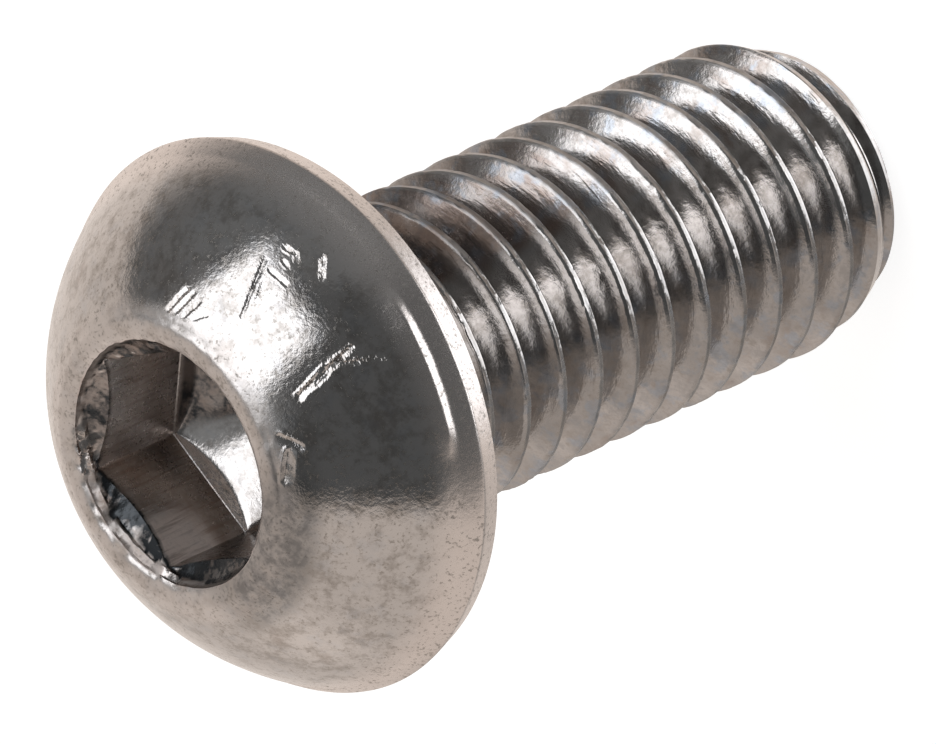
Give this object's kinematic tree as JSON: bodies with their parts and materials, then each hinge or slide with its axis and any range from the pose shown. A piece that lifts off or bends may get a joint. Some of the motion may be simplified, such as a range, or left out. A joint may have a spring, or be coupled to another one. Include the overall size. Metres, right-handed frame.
{
  "type": "button head socket screw",
  "caption": "Short stainless machine screw with a domed button head, a hexagon socket for a hex key, and a right-hand thread up to the head.",
  "frame": {"origin": "centre of the head's flat bearing face, on the screw's axis", "axes": "+Z along the screw's axis towards the head, so the shank runs down to its end face; +X through a corner of the hexagon socket"},
  "size_m": [0.014, 0.014, 0.0218],
  "materials": {
    "stainless_steel": "tumbled bright stainless steel, finely mottled, with small dings and scratches on the dome"
  },
  "bodies": {
    "root": {"screw": "stainless_steel"}
  },
  "joints": []
}
